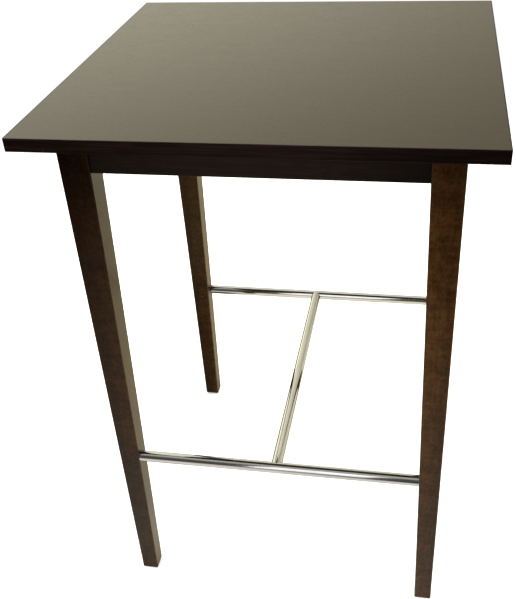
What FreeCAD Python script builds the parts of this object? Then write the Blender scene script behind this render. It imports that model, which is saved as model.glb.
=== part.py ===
import FreeCAD, Part
import Sketcher
import math
import os

# Square bar-height table on four legs that taper on their inner faces, with low aprons
# between the legs and a tubular H-shaped footrest.
# Frame: millimetres, +Z up, origin on the floor under the centre of the top.
# The front of the table faces -Y and +X is to the right of someone facing the front.

V = FreeCAD.Vector
doc = FreeCAD.newDocument("pub_table")

# ----------------------------------------------------------------------------------------
# Driving dimensions
# ----------------------------------------------------------------------------------------
dims = doc.addObject("Spreadsheet::Sheet", "Dims")
DRIVING = [
    ("top_width", 750.0, "width of the top along X"),
    ("top_depth", 750.0, "depth of the top along Y"),
    ("total_height", 1062.0, "floor to the upper face of the top"),
    ("top_thick", 22.0, "thickness of the finished top"),
    ("veneer", 0.8, "thickness of each face sheet of the top"),
    ("band", 2.0, "thickness of the edge bands"),
    ("band_round", 0.6, "rounding of the top's upper edge"),
    ("band_ease", 0.5, "rounding of the top's lower edge"),
    ("corner_round", 1.6, "rounding of the top's corners in plan"),
    ("glide_high", 2.5, "height of the glides under the legs"),
    ("glide_dia", 22.0, "diameter of the glides"),
    ("nail_dia", 2.4, "diameter of the glide nails"),
    ("nail_head_dia", 6.0, "head of the glide nails"),
    ("nail_head_high", 0.9, "height of the glide nail heads"),
    ("nail_long", 15.0, "length of the glide nails in the leg"),
    ("leg_out", 320.0, "outer faces of the legs from the centre"),
    ("leg_head", 52.0, "side of the leg beside the aprons"),
    ("leg_foot", 34.0, "side of the leg at the floor"),
    ("leg_round", 2.5, "rounding of the leg's long edges"),
    ("foot_ease", 1.0, "eased edge round the foot of the leg"),
    ("leg_flat", 10.0, "flat on the inner corner of the leg's head"),
    ("leg_flat_stop", 6.0, "height of the flat's stop above the apron's lower edge"),
    ("apron_drop", 62.0, "height of the aprons"),
    ("apron_thick", 20.0, "thickness of the aprons"),
    ("apron_back", 6.0, "apron face behind the leg's outer face"),
    ("apron_ease", 1.0, "rounding of the aprons' lower edges"),
    ("kerf_from_centre", 212.0, "saw kerf for the corner plate"),
    ("kerf_wide", 3.2, "width of the kerf"),
    ("kerf_deep", 8.0, "depth of the kerf"),
    ("steel", 2.0, "sheet thickness of the corner plates and angles"),
    ("plate_high", 46.0, "height of the corner plates"),
    ("plate_sum", 541.0, "X + Y of the corner plate's outer diagonal face"),
    ("plate_hook", 7.0, "reach of the plate's end flanges in the kerfs"),
    ("bolt_dia", 8.0, "hanger bolt"),
    ("bolt_in_leg", 35.0, "wood thread length of the hanger bolt"),
    ("bolt_free", 25.0, "machine thread length of the hanger bolt"),
    ("bolt_hole_dia", 9.0, "hole for the hanger bolt in the corner plate"),
    ("washer_dia", 20.0, "washer on the hanger bolt"),
    ("washer_high", 1.6, "thickness of the washer"),
    ("nut_flats", 13.0, "nut across its flats"),
    ("nut_high", 6.5, "height of the nut"),
    ("screw_dia", 4.0, "small wood screws"),
    ("screw_long", 15.0, "length of the small wood screws under the head"),
    ("screw_head_dia", 8.0, "head of the small wood screws"),
    ("screw_head_high", 2.6, "height of the small screws' heads"),
    ("screw_hole_dia", 4.5, "screw holes in the steel plates"),
    ("screw_row", 24.0, "distance between the two screws of a plate wing"),
    ("angle_from_centre", 110.0, "angles under the top, from the middle of an apron"),
    ("angle_leg", 24.0, "leg length of the angles"),
    ("angle_wide", 20.0, "width of the angles"),
    ("angle_hole", 14.0, "hole in the angle from its corner"),
    ("rail_height", 343.5, "axis of the footrest tubes above the floor"),
    ("rail_y", 308.5, "axis of the foot rails from the centre"),
    ("rail_dia", 22.0, "outer diameter of the tubes"),
    ("rail_wall", 1.2, "wall of the tubes"),
    ("spigot_dia", 10.0, "spigots of the tube plugs"),
    ("spigot_in_leg", 26.0, "length of the spigot in the leg"),
    ("plug_in_tube", 18.0, "length of a plug in its tube"),
    ("plug_gap", 0.05, "radial fit of pins in their holes"),
    ("cross_cut_back", 2.0, "end of the cross rail's cope from the foot rail's axis"),
    ("cross_plug_face", 11.0, "shoulder of the cross rail plug from the foot rail's axis"),
    ("cross_spigot_tip", 4.0, "tip of the cross rail spigot from the foot rail's axis"),
    ("lock_x", 296.5, "lock screw from the middle plane"),
    ("lock_dia", 5.0, "lock screw"),
    ("lock_head_dia", 8.6, "head of the lock screw"),
    ("lock_head_high", 3.0, "height of the lock screw's head"),
    ("lock_bore_dia", 10.4, "counterbore for the lock screw"),
    ("lock_bore_deep", 6.4, "depth of the counterbore"),
    ("lock_key", 3.0, "hexagon socket across its flats"),
]
for row, (alias, number, note) in enumerate(DRIVING, start=1):
    dims.set("A%d" % row, alias)
    dims.set("B%d" % row, str(number))
    dims.set("C%d" % row, note)
    dims.setAlias("B%d" % row, alias)
doc.recompute()


class Dim:
    """A length that knows its number and the sheet formula it comes from."""

    def __init__(self, text, number):
        self.text = text
        self.number = float(number)

    def join(self, sign, other, number):
        return Dim("(%s %s %s)" % (self.text, sign, other.text), number)

    def __add__(self, other):
        other = dim(other)
        return self.join("+", other, self.number + other.number)

    def __sub__(self, other):
        other = dim(other)
        return self.join("-", other, self.number - other.number)

    def __mul__(self, other):
        other = dim(other)
        return self.join("*", other, self.number * other.number)

    def __truediv__(self, other):
        other = dim(other)
        return self.join("/", other, self.number / other.number)

    def __neg__(self):
        return Dim("(-1 * %s)" % self.text, -self.number)


def dim(thing):
    if isinstance(thing, Dim):
        return thing
    if isinstance(thing, str):
        return Dim("Dims.%s" % thing, float(dims.get(thing)))
    return Dim("(%.6f)" % thing, thing)


def bind(item, prop, length):
    item.setExpression(prop, dim(length).text)


def place(item, x, y, z, rotation=None):
    x, y, z = dim(x), dim(y), dim(z)
    item.Placement = FreeCAD.Placement(V(x.number, y.number, z.number),
                                       rotation or FreeCAD.Rotation())
    bind(item, "Placement.Base.x", x)
    bind(item, "Placement.Base.y", y)
    bind(item, "Placement.Base.z", z)


# ----------------------------------------------------------------------------------------
# Building blocks
# ----------------------------------------------------------------------------------------
def new_body(name):
    return doc.addObject("PartDesign::Body", name)


def sketch_on(body, name, role, base=None, turn=0.0):
    """Sketch on an origin plane, moved by base (in the plane's axes) and turned about its
    own Y axis."""
    sk = body.newObject("Sketcher::SketchObject", name)
    plane = [f for f in body.Origin.OriginFeatures if f.Role == role][0]
    sk.AttachmentSupport = [(plane, "")]
    sk.MapMode = "FlatFace"
    base = [dim(b) for b in (base or (0.0, 0.0, 0.0))]
    sk.AttachmentOffset = FreeCAD.Placement(V(*[b.number for b in base]),
                                            FreeCAD.Rotation(V(0, 1, 0), turn))
    for axis, b in zip("xyz", base):
        bind(sk, "AttachmentOffset.Base." + axis, b)
    return sk


def pin_point(sk, geo, pos, x, y):
    """Fix one point of a sketch at x, y from the sketch's origin."""
    for kind, length, axis in (("DistanceX", x, -2), ("DistanceY", y, -1)):
        length = dim(length)
        if abs(length.number) < 1e-9:
            sk.addConstraint(Sketcher.Constraint("PointOnObject", geo, pos, axis))
        else:
            c = sk.addConstraint(Sketcher.Constraint(kind, -1, 1, geo, pos, length.number))
            sk.setExpression("Constraints[%d]" % c, length.text)


def polygon(sk, points):
    points = [(dim(x), dim(y)) for x, y in points]
    n, first = len(points), sk.GeometryCount
    for i in range(n):
        (ax, ay), (bx, by) = points[i], points[(i + 1) % n]
        sk.addGeometry(Part.LineSegment(V(ax.number, ay.number, 0), V(bx.number, by.number, 0)), False)
    for i in range(n):
        sk.addConstraint(Sketcher.Constraint("Coincident", first + i, 2, first + (i + 1) % n, 1))
    for i, (x, y) in enumerate(points):
        pin_point(sk, first + i, 1, x, y)


def circle(sk, x, y, radius):
    x, y, radius = dim(x), dim(y), dim(radius)
    g = sk.addGeometry(Part.Circle(V(x.number, y.number, 0), V(0, 0, 1), radius.number), False)
    pin_point(sk, g, 3, x, y)
    c = sk.addConstraint(Sketcher.Constraint("Radius", g, radius.number))
    sk.setExpression("Constraints[%d]" % c, radius.text)


def round_rect(sk, x0, y0, x1, y1, radius):
    """Rectangle with rounded corners: four lines and four tangent arcs."""
    x0, y0, x1, y1, radius = [dim(d) for d in (x0, y0, x1, y1, radius)]
    a, b, c, d, r = x0.number, y0.number, x1.number, y1.number, radius.number
    line = lambda p, q: sk.addGeometry(Part.LineSegment(V(p[0], p[1], 0), V(q[0], q[1], 0)), False)

    def arc(cx, cy, start):
        ring = Part.Circle(V(cx, cy, 0), V(0, 0, 1), r)
        return sk.addGeometry(Part.ArcOfCircle(ring, start, start + math.pi / 2), False)

    bottom = line((a + r, b), (c - r, b))
    arc_1 = arc(c - r, b + r, -math.pi / 2)
    right = line((c, b + r), (c, d - r))
    arc_2 = arc(c - r, d - r, 0.0)
    top = line((c - r, d), (a + r, d))
    arc_3 = arc(a + r, d - r, math.pi / 2)
    left = line((a, d - r), (a, b + r))
    arc_4 = arc(a + r, b + r, math.pi)
    loop = [bottom, arc_1, right, arc_2, top, arc_3, left, arc_4]
    for i, g in enumerate(loop):
        sk.addConstraint(Sketcher.Constraint("Tangent", g, 2, loop[(i + 1) % 8], 1))
    for g in (bottom, top):
        sk.addConstraint(Sketcher.Constraint("Horizontal", g))
    for g in (left, right):
        sk.addConstraint(Sketcher.Constraint("Vertical", g))
    for g in (arc_2, arc_3, arc_4):
        sk.addConstraint(Sketcher.Constraint("Equal", arc_1, g))
    i = sk.addConstraint(Sketcher.Constraint("Radius", arc_1, r))
    sk.setExpression("Constraints[%d]" % i, radius.text)
    for kind, g, length in (("DistanceX", left, x0), ("DistanceX", right, x1),
                            ("DistanceY", bottom, y0), ("DistanceY", top, y1)):
        i = sk.addConstraint(Sketcher.Constraint(kind, -1, 1, g, 1, length.number))
        sk.setExpression("Constraints[%d]" % i, length.text)


def pad(body, sk, length):
    feature = body.newObject("PartDesign::Pad", sk.Name + "_pad")
    feature.Profile = sk
    feature.Length = dim(length).number
    bind(feature, "Length", length)
    sk.Visibility = False
    doc.recompute()
    return feature


def pocket(body, sk, length=None, along_normal=False):
    """Cut a sketch out of the body: to a length, or through all that lies that way."""
    before = body.Shape.Volume
    feature = body.newObject("PartDesign::Pocket", sk.Name + "_cut")
    feature.Profile = sk
    if length is None:
        feature.Type = "ThroughAll"
    else:
        feature.Type = "Length"
        feature.Length = dim(length).number
        bind(feature, "Length", length)
    feature.Reversed = bool(along_normal)
    sk.Visibility = False
    doc.recompute()
    if body.Shape.Volume > before - 1e-3:
        raise RuntimeError("%s cuts nothing" % feature.Name)
    return feature


def revolve(body, sk):
    feature = body.newObject("PartDesign::Revolution", sk.Name + "_turned")
    feature.Profile = sk
    feature.ReferenceAxis = (sk, ["V_Axis"])
    feature.Angle = 360.0
    sk.Visibility = False
    doc.recompute()
    return feature


def dress(body, kind, size, base, edges):
    """Fillet or chamfer the named edges of the last feature."""
    if not edges:
        raise RuntimeError("no edges for %s" % body.Name)
    feature = body.newObject("PartDesign::" + kind, "%s_%s" % (body.Name, kind.lower()))
    feature.Base = (base, edges)
    prop = "Radius" if kind == "Fillet" else "Size"
    setattr(feature, prop, dim(size).number)
    bind(feature, prop, size)
    doc.recompute()
    return feature


def edges_where(shape, test):
    return ["Edge%d" % (i + 1) for i, e in enumerate(shape.Edges) if test(e)]


def lies_at(edge, axis, value):
    box = edge.BoundBox
    low, high = {"x": (box.XMin, box.XMax), "y": (box.YMin, box.YMax), "z": (box.ZMin, box.ZMax)}[axis]
    return abs(low - value) < 1e-4 and abs(high - value) < 1e-4


def box(name, x0, x1, y0, y1, z0, z1):
    x0, x1, y0, y1, z0, z1 = [dim(d) for d in (x0, x1, y0, y1, z0, z1)]
    b = doc.addObject("Part::Box", name)
    for prop, length in (("Length", x1 - x0), ("Width", y1 - y0), ("Height", z1 - z0)):
        setattr(b, prop, length.number)
        bind(b, prop, length)
    place(b, x0, y0, z0)
    return b


X_PLANE, Y_PLANE, DIAGONAL = V(1, 0, 0), V(0, 1, 0), V(1, -1, 0)


def mirrored(source, name, normal, height=None):
    m = doc.addObject("Part::Mirroring", name)
    m.Source = source
    m.Normal = normal
    m.Base = V(0, 0, dim(height).number if height is not None else 0.0)
    if height is not None:
        bind(m, "Base.z", height)
    return m


def all_copies(source, planes):
    """The source and its mirror images in each plane in turn: twice as many each time."""
    items = [source]
    for plane in planes:
        normal, height = plane if isinstance(plane, tuple) else (plane, None)
        items += [mirrored(i, "%s_copy" % source.Name, normal, height) for i in items]
    return items


def group(name, items):
    c = doc.addObject("Part::Compound", name)
    c.Links = items
    for i in items:
        i.Visibility = False
    return c


pieces = []


def keep(item, label):
    item.Label = label
    pieces.append(item)
    return item


# ----------------------------------------------------------------------------------------
# Derived places
# ----------------------------------------------------------------------------------------
half_x, half_y = dim("top_width") / 2, dim("top_depth") / 2
under = dim("total_height") - "top_thick"            # underside of the top
apron_z = under - "apron_drop"                       # lower edge of the aprons
apron_out = dim("leg_out") - "apron_back"            # outer face of the aprons
apron_in = apron_out - "apron_thick"                 # inner face of the aprons
head_in = dim("leg_out") - "leg_head"                # inner faces of the leg's head
foot_in = dim("leg_out") - "leg_foot"                # inner faces of the leg's foot
mid_z = under - dim("apron_drop") / 2                # middle height of the aprons
gap = dim("plug_gap")


def leg_face(z):
    """Inner face of the leg, from the centre, at a height between the floor and the apron."""
    z = dim(z)
    return foot_in - (dim("leg_head") - "leg_foot") * (z - "glide_high") / (apron_z - "glide_high")


rail_r = dim("rail_dia") / 2
tube_r = rail_r - "rail_wall"
rail_end = leg_face(dim("rail_height") + rail_r)     # the tube's ends just meet the legs
lock_face = leg_face("rail_height")
spigot_end = rail_end + "spigot_in_leg"
flat_sum = head_in * 2 + "leg_flat"                  # X + Y of the flat on the leg's corner
ROOT_2 = math.sqrt(2.0)
flat_far = flat_sum / ROOT_2                         # the flat's distance from the middle axis
plate_far = dim("plate_sum") / ROOT_2
bolt_end = flat_far + "bolt_in_leg"
wing_x = (dim("kerf_from_centre") + dim("plate_sum") - apron_in) / 2
pilot = dim("screw_dia") / 2 + gap

# ----------------------------------------------------------------------------------------
# The top: core board, two face sheets and four edge bands
# ----------------------------------------------------------------------------------------
core_x, core_y = half_x - "band", half_y - "band"
core_low, core_high = under + "veneer", dim("total_height") - "veneer"

angle_screw_y = apron_in - "angle_hole"              # screws that go up into the top
drill = doc.addObject("Part::Cylinder", "top_pilot")
drill.Radius = pilot.number
bind(drill, "Radius", pilot)
drill_high = dim("screw_long") - "steel" + 0.5
drill.Height = drill_high.number
bind(drill, "Height", drill_high)
place(drill, "angle_from_centre", -angle_screw_y, under)
drills = group("top_pilots", all_copies(drill, [X_PLANE, Y_PLANE, DIAGONAL]))


def drilled(name, board):
    cut = doc.addObject("Part::Cut", name)
    cut.Base = board
    cut.Tool = drills
    board.Visibility = False
    return cut


core = drilled("core", box("core_board", -core_x, core_x, -core_y, core_y, core_low, core_high))
keep(core, "tabletop_core")
backing = drilled("backing", box("backing_sheet", -core_x, core_x, -core_y, core_y, under, core_low))
keep(backing, "tabletop_backing")
keep(box("veneer_sheet", -core_x, core_x, -core_y, core_y, core_high, "total_height"), "tabletop_veneer")

# The bands are cut from one ring, so that their rounded edges run through at the corners.
ring = new_body("band_ring")
ring_outline = sketch_on(ring, "ring_outline", "XY_Plane", (0.0, 0.0, under))
round_rect(ring_outline, -half_x, -half_y, half_x, half_y, "corner_round")
ring_pad = pad(ring, ring_outline, "top_thick")
ring_round = dress(ring, "Fillet", "band_round", ring_pad,
                   edges_where(ring_pad.Shape, lambda e: lies_at(e, "z", dim("total_height").number)))
ring_ease = dress(ring, "Fillet", "band_ease", ring_round,
                  edges_where(ring_round.Shape, lambda e: lies_at(e, "z", under.number)))
ring_inside = sketch_on(ring, "ring_inside", "XY_Plane", (0.0, 0.0, "total_height"))
polygon(ring_inside, [(-core_x, -core_y), (core_x, -core_y), (core_x, core_y), (-core_x, core_y)])
pocket(ring, ring_inside)


def edge_band(label, x0, x1, y0, y1):
    clip = box(label + "_clip", x0, x1, y0, y1, under - 1.0, dim("total_height") + 1.0)
    common = doc.addObject("Part::Common", label + "_piece")
    common.Base = ring
    common.Tool = clip
    clip.Visibility = False
    keep(common, label)


past = 1.0
edge_band("edge_band_front", -half_x - past, half_x + past, -half_y - past, -core_y)
edge_band("edge_band_back", -half_x - past, half_x + past, core_y, half_y + past)
edge_band("edge_band_left", -half_x - past, -core_x, -core_y, core_y)
edge_band("edge_band_right", core_x, half_x + past, -core_y, core_y)
ring.Visibility = False


# ----------------------------------------------------------------------------------------
# Legs: straight outer faces, inner faces that taper from the apron to the floor
# ----------------------------------------------------------------------------------------
def leg(label, side, turned):
    """Back leg on the right (side +1) or left (side -1); turned half round it is the
    front leg on the other side."""
    body = new_body(label + "_body")

    def section(name, inner, z, inset=0.0):
        sk = sketch_on(body, label + name, "XY_Plane", (0.0, 0.0, z))
        low, high = inner + inset, dim("leg_out") - inset
        x0, x1 = (low, high) if side > 0 else (-high, -low)
        round_rect(sk, x0, low, x1, high, dim("leg_round") - inset)
        sk.Visibility = False
        return sk

    # sole with its eased edge, foot, lower edge of the aprons, underside of the top
    sole = section("_sole", foot_in, "glide_high", dim("foot_ease"))
    foot = section("_foot", foot_in, dim("glide_high") + "foot_ease")
    waist = section("_waist", head_in, apron_z)
    head = section("_head", head_in, under)
    doc.recompute()
    loft = body.newObject("PartDesign::AdditiveLoft", label + "_loft")
    loft.Profile = sole
    loft.Sections = [(foot, [""]), (waist, [""]), (head, [""])]
    loft.Ruled = True
    doc.recompute()

    # flat on the inner corner of the head, where the hanger bolt stands
    flat = sketch_on(body, label + "_flat", "XY_Plane", (0.0, 0.0, under))
    reach = dim("leg_flat") + past
    polygon(flat, [((head_in - past) * side, head_in - past),
                   ((head_in + reach) * side, head_in - past),
                   ((head_in - past) * side, head_in + reach)])
    pocket(body, flat, dim("apron_drop") - "leg_flat_stop")

    # pilot for the hanger bolt, on the diagonal
    far = (bolt_end + 1.0) / ROOT_2
    bolt = sketch_on(body, label + "_bolt", "XZ_Plane", (far * side, 0.0, -far), -45.0 * side)
    circle(bolt, 0.0, mid_z, dim("bolt_dia") / 2 + gap)
    pocket(body, bolt, along_normal=True)

    # socket for the rail's spigot, in the inner side face
    socket = sketch_on(body, label + "_socket", "YZ_Plane", (0.0, 0.0, (spigot_end + 1.0) * side))
    circle(socket, "rail_y", "rail_height", dim("spigot_dia") / 2 + gap)
    pocket(body, socket, along_normal=side < 0)

    # counterbored hole for the lock screw, in the face towards the middle of the table
    lock = sketch_on(body, label + "_lock", "XZ_Plane", (0.0, 0.0, -dim("rail_y")))
    circle(lock, dim("lock_x") * side, "rail_height", dim("lock_dia") / 2 + gap)
    pocket(body, lock, along_normal=True)
    bore = sketch_on(body, label + "_bore", "XZ_Plane", (0.0, 0.0, -(lock_face + "lock_bore_deep")))
    circle(bore, dim("lock_x") * side, "rail_height", dim("lock_bore_dia") / 2)
    pocket(body, bore, along_normal=True)

    # hole for the glide's nail
    nail = sketch_on(body, label + "_nail", "XY_Plane", (0.0, 0.0, "glide_high"))
    middle = dim("leg_out") - dim("leg_foot") / 2
    circle(nail, middle * side, middle, dim("nail_dia") / 2 + gap)
    pocket(body, nail, dim("nail_long") + 0.5, along_normal=True)
    if turned:
        body.Placement = FreeCAD.Placement(V(0, 0, 0), FreeCAD.Rotation(V(0, 0, 1), 180))
    keep(body, label)


leg("leg_back_right", 1, False)
leg("leg_front_left", 1, True)
leg("leg_back_left", -1, False)
leg("leg_front_right", -1, True)


# ----------------------------------------------------------------------------------------
# Aprons: boards between the legs, with a kerf near each end and pilot holes inside
# ----------------------------------------------------------------------------------------
def apron(label, quarter):
    body = new_body(label + "_body")
    outline = sketch_on(body, label + "_outline", "XY_Plane", (0.0, 0.0, apron_z))
    polygon(outline, [(-head_in, -apron_out), (head_in, -apron_out), (head_in, -apron_in), (-head_in, -apron_in)])
    board = pad(body, outline, "apron_drop")
    long_edges = edges_where(board.Shape, lambda e: lies_at(e, "z", apron_z.number)
                             and e.BoundBox.XLength > 10)
    dress(body, "Fillet", "apron_ease", board, long_edges)
    half_kerf = dim("kerf_wide") / 2
    kerf_end = -apron_in - "kerf_deep"
    kerf = sketch_on(body, label + "_kerfs", "XY_Plane", (0.0, 0.0, under))
    for side in (-1, 1):
        k = dim("kerf_from_centre") * side
        polygon(kerf, [(k - half_kerf, kerf_end), (k + half_kerf, kerf_end),
                       (k + half_kerf, -apron_in + past), (k - half_kerf, -apron_in + past)])
    pocket(body, kerf)
    holes = sketch_on(body, label + "_pilots", "XZ_Plane", (0.0, 0.0, apron_in))
    for side in (-1, 1):
        for up in (-1, 1):
            circle(holes, wing_x * side, mid_z + dim("screw_row") / 2 * up, pilot)
        circle(holes, dim("angle_from_centre") * side, under - "angle_hole", pilot)
    pocket(body, holes, dim("screw_long") - "steel" + 0.5, along_normal=True)
    body.Placement = FreeCAD.Placement(V(0, 0, 0), FreeCAD.Rotation(V(0, 0, 1), 90 * quarter))
    keep(body, label)


apron("apron_front", 0)
apron("apron_right", 1)
apron("apron_back", 2)
apron("apron_left", 3)


# ----------------------------------------------------------------------------------------
# Corner plates: pressed steel, hooked in the kerfs of two aprons, one behind each leg
# ----------------------------------------------------------------------------------------
def corner_bracket(label, quarter):
    body = new_body(label + "_body")
    steel, k, c, a = dim("steel"), dim("kerf_from_centre"), dim("plate_sum"), apron_in
    half = steel / 2
    tip = a + "plate_hook"
    inner = c - steel * ROOT_2 - a + steel
    profile = sketch_on(body, label + "_profile", "XY_Plane", (0.0, 0.0, mid_z - dim("plate_high") / 2))
    polygon(profile, [(k - half, tip), (k - half, a - steel), (inner, a - steel), (a - steel, inner),
                      (a - steel, k - half), (tip, k - half), (tip, k + half), (a, k + half),
                      (a, c - a), (c - a, a), (k + half, a), (k + half, tip)])
    pad(body, profile, "plate_high")
    hole = sketch_on(body, label + "_hole", "XZ_Plane", (0.0, 0.0, 0.0), -45.0)
    circle(hole, 0.0, mid_z, dim("bolt_hole_dia") / 2)
    pocket(body, hole)
    for name, role, forward in (("_wing_a", "XZ_Plane", False), ("_wing_b", "YZ_Plane", True)):
        wing = sketch_on(body, label + name, role)
        for up in (-1, 1):
            circle(wing, wing_x, mid_z + dim("screw_row") / 2 * up, dim("screw_hole_dia") / 2)
        pocket(body, wing, along_normal=forward)
    body.Placement = FreeCAD.Placement(V(0, 0, 0), FreeCAD.Rotation(V(0, 0, 1), 90 * quarter))
    keep(body, label)


corner_bracket("corner_bracket_back_right", 0)
corner_bracket("corner_bracket_back_left", 1)
corner_bracket("corner_bracket_front_left", 2)
corner_bracket("corner_bracket_front_right", 3)

# ----------------------------------------------------------------------------------------
# Hanger bolts, washers and nuts
# ----------------------------------------------------------------------------------------
INWARD = FreeCAD.Rotation(V(0, 0, 1), V(-1, -1, 0))


def diagonal_place(item, far):
    far = dim(far) / ROOT_2
    place(item, far, far, mid_z, INWARD)


def turned(name, points):
    """A turned piece: a profile in X (radius) and Y (height) revolved about its height axis."""
    body = new_body(name)
    sk = sketch_on(body, name + "_profile", "XZ_Plane")
    polygon(sk, points)
    revolve(body, sk)
    return body


bolt_r = dim("bolt_dia") / 2
bolt = turned("hanger_bolt", [(0.0, -dim("bolt_in_leg")), (bolt_r * 0.25, -dim("bolt_in_leg")),
                              (bolt_r, -dim("bolt_in_leg") + 6.0), (bolt_r, dim("bolt_free") - 1.0),
                              (bolt_r - 1.0, "bolt_free"), (0.0, "bolt_free")])
diagonal_place(bolt, flat_far)
keep(group("hanger_bolt_set", all_copies(bolt, [X_PLANE, Y_PLANE])), "hanger_bolts")

washer = new_body("washer")
washer_rings = sketch_on(washer, "washer_rings", "XY_Plane")
circle(washer_rings, 0.0, 0.0, dim("washer_dia") / 2)
circle(washer_rings, 0.0, 0.0, bolt_r + 0.2)
pad(washer, washer_rings, "washer_high")
diagonal_place(washer, plate_far - "steel")
keep(group("washer_set", all_copies(washer, [X_PLANE, Y_PLANE])), "hanger_bolt_washers")

nut = new_body("nut")
nut_outline = sketch_on(nut, "nut_outline", "XY_Plane")
nut_r = dim("nut_flats") / math.sqrt(3.0)
polygon(nut_outline, [(nut_r * math.cos(math.radians(60 * i)), nut_r * math.sin(math.radians(60 * i)))
                      for i in range(6)])
circle(nut_outline, 0.0, 0.0, bolt_r + gap)
nut_pad = pad(nut, nut_outline, "nut_high")
nut_bevel = sketch_on(nut, "nut_bevel", "XZ_Plane")
polygon(nut_bevel, [(dim("nut_flats") / 2, dim("nut_high")), (nut_r + 1.0, dim("nut_high")),
                    (nut_r + 1.0, dim("nut_high") - 1.6)])
nut_groove = nut.newObject("PartDesign::Groove", "nut_groove")
nut_groove.Profile = nut_bevel
nut_groove.ReferenceAxis = (nut_bevel, ["V_Axis"])
nut_groove.Angle = 360.0
nut_bevel.Visibility = False
doc.recompute()
if nut.Shape.Volume > nut_pad.Shape.Volume - 1e-3:
    raise RuntimeError("the nut's bevel cuts nothing")
diagonal_place(nut, plate_far - "steel" - "washer_high")
keep(group("nut_set", all_copies(nut, [X_PLANE, Y_PLANE])), "hanger_bolt_nuts")


# ----------------------------------------------------------------------------------------
# Small wood screws: pan head with a cross recess
# ----------------------------------------------------------------------------------------
def wood_screw(name):
    r, head_r, head = dim("screw_dia") / 2, dim("screw_head_dia") / 2, dim("screw_head_high")
    body = turned(name, [(0.0, -dim("screw_long")), (r * 0.2, -dim("screw_long")),
                         (r, -dim("screw_long") + 4.0), (r, 0.0), (head_r, 0.0), (head_r, head * 0.35),
                         (head_r * 0.86, head * 0.72), (head_r * 0.6, head * 0.93), (head_r * 0.3, head),
                         (0.0, head)])
    recess = sketch_on(body, name + "_recess", "XY_Plane", (0.0, 0.0, head))
    w, long = head_r * 0.13, head_r * 0.55
    polygon(recess, [(w, w), (w, long), (-w, long), (-w, w), (-long, w), (-long, -w),
                     (-w, -w), (-w, -long), (w, -long), (w, -w), (long, -w), (long, w)])
    pocket(body, recess, head * 0.6)
    return body


TO_FRONT = FreeCAD.Rotation(V(0, 0, 1), V(0, -1, 0))
TO_BACK = FreeCAD.Rotation(V(0, 0, 1), V(0, 1, 0))
plate_screw = wood_screw("plate_screw")
place(plate_screw, wing_x, apron_in - "steel", mid_z + dim("screw_row") / 2, TO_FRONT)
keep(group("plate_screw_set", all_copies(plate_screw, [(V(0, 0, 1), mid_z), DIAGONAL, X_PLANE, Y_PLANE])),
     "bracket_screws")

# ----------------------------------------------------------------------------------------
# Angles that hold the top on the aprons, and their screws
# ----------------------------------------------------------------------------------------
angle = new_body("angle")
angle_x = dim("angle_from_centre") - dim("angle_wide") / 2
angle_profile = sketch_on(angle, "angle_profile", "YZ_Plane", (0.0, 0.0, angle_x))
y0, y1, y2 = -apron_in, -apron_in + "steel", -apron_in + "angle_leg"
z0, z1, z2 = under - "angle_leg", under - "steel", under
polygon(angle_profile, [(y0, z0), (y1, z0), (y1, z1), (y2, z1), (y2, z2), (y0, z2)])
angle_pad = pad(angle, angle_profile, "angle_wide")
dress(angle, "Fillet", 2.0, angle_pad,
      edges_where(angle_pad.Shape, lambda e: lies_at(e, "y", y1.number) and lies_at(e, "z", z1.number)))
angle_up = sketch_on(angle, "angle_up", "XY_Plane", (0.0, 0.0, under))
circle(angle_up, "angle_from_centre", -angle_screw_y, dim("screw_hole_dia") / 2)
pocket(angle, angle_up)
angle_side = sketch_on(angle, "angle_side", "XZ_Plane", (0.0, 0.0, apron_in - "steel"))
circle(angle_side, "angle_from_centre", under - "angle_hole", dim("screw_hole_dia") / 2)
pocket(angle, angle_side, "steel", along_normal=True)
keep(group("angle_set", all_copies(angle, [X_PLANE, Y_PLANE, DIAGONAL])), "top_angle_brackets")

up_screw = wood_screw("up_screw")
place(up_screw, "angle_from_centre", -angle_screw_y, under - "steel", FreeCAD.Rotation(V(1, 0, 0), 180))
side_screw = wood_screw("side_screw")
place(side_screw, "angle_from_centre", -apron_in + "steel", under - "angle_hole", TO_BACK)
keep(group("angle_screw_set", all_copies(up_screw, [X_PLANE, Y_PLANE, DIAGONAL])
           + all_copies(side_screw, [X_PLANE, Y_PLANE, DIAGONAL])), "top_bracket_screws")


# ----------------------------------------------------------------------------------------
# Footrest: two foot rails between the legs and a cross rail coped between them
# ----------------------------------------------------------------------------------------
def foot_rail(label, y, half_turn):
    body = new_body(label + "_body")
    rings = sketch_on(body, label + "_rings", "YZ_Plane", (0.0, 0.0, -rail_end))
    circle(rings, 0.0, 0.0, rail_r)
    circle(rings, 0.0, 0.0, tube_r)
    pad(body, rings, rail_end * 2)
    hole = sketch_on(body, label + "_hole", "XZ_Plane")
    circle(hole, 0.0, 0.0, dim("spigot_dia") / 2 + gap)
    pocket(body, hole, "rail_dia")
    place(body, 0.0, y, "rail_height", FreeCAD.Rotation(V(0, 0, 1), 180.0 if half_turn else 0.0))
    keep(body, label)


foot_rail("foot_rail_front", -dim("rail_y"), False)
foot_rail("foot_rail_back", dim("rail_y"), True)

cross = new_body("cross_rail_body")
cross_half = dim("rail_y") - "cross_cut_back"
cross_rings = sketch_on(cross, "cross_rings", "XZ_Plane", (0.0, 0.0, -cross_half))
circle(cross_rings, 0.0, 0.0, rail_r)
circle(cross_rings, 0.0, 0.0, tube_r)
pad(cross, cross_rings, cross_half * 2)
for name, where in (("cope_front", -dim("rail_y")), ("cope_back", dim("rail_y"))):
    cope = sketch_on(cross, name, "YZ_Plane", (0.0, 0.0, rail_r + past))
    circle(cope, where, 0.0, rail_r)
    pocket(cross, cope)
place(cross, 0.0, 0.0, "rail_height")
keep(cross, "cross_rail")

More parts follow.
